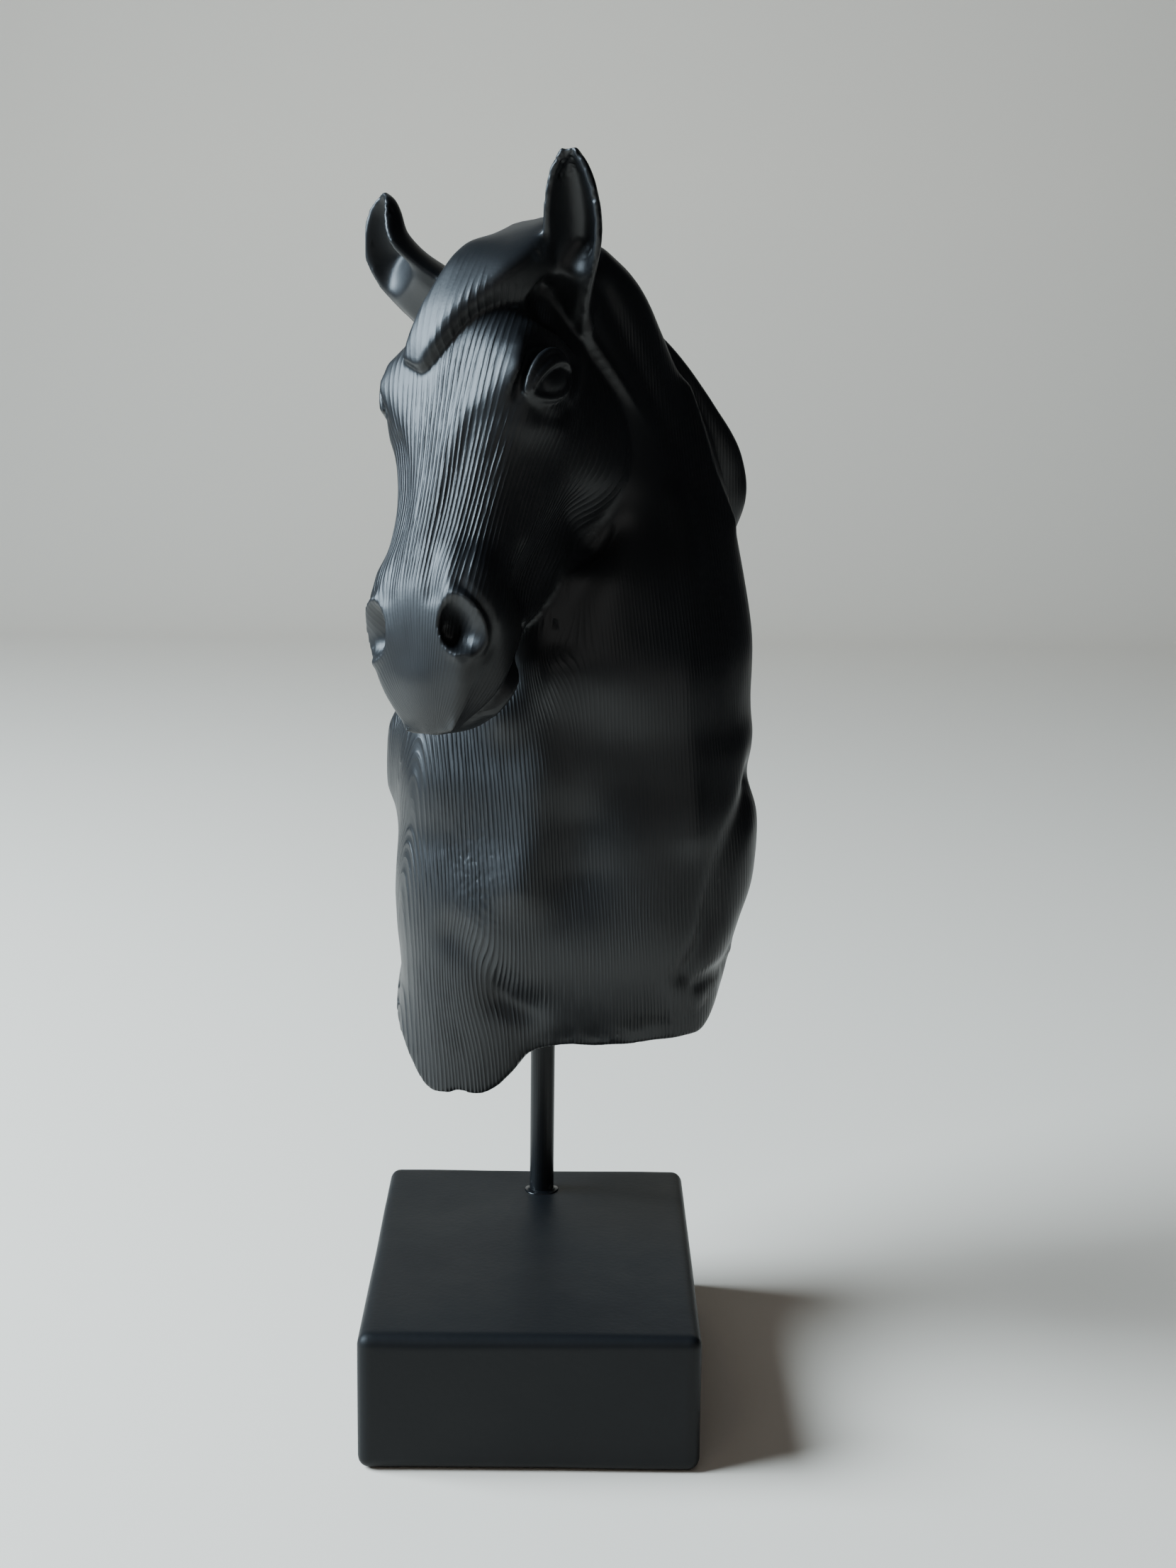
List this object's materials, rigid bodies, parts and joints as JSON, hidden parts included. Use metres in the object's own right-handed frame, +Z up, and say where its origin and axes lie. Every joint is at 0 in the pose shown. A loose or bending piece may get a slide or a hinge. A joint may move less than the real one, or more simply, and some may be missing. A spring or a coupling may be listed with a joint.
{
  "type": "horse figurine",
  "caption": "Black wood-grained horse head and chest, broken off like an antique fragment, held above a rectangular block by a round rod.",
  "frame": {"origin": "centre of the block's underside", "axes": "+Z up, -Y towards the viewer of the picture, +X to the viewer's right; the rod stands towards +Y"},
  "size_m": [0.1257, 0.1758, 0.3789],
  "materials": {
    "horse": "satin black cast resin with wood grain",
    "rod": "satin black",
    "plinth": "matt black paint"
  },
  "bodies": {
    "root": {"horse": "horse", "rod": "rod", "plinth": "plinth"}
  },
  "joints": []
}
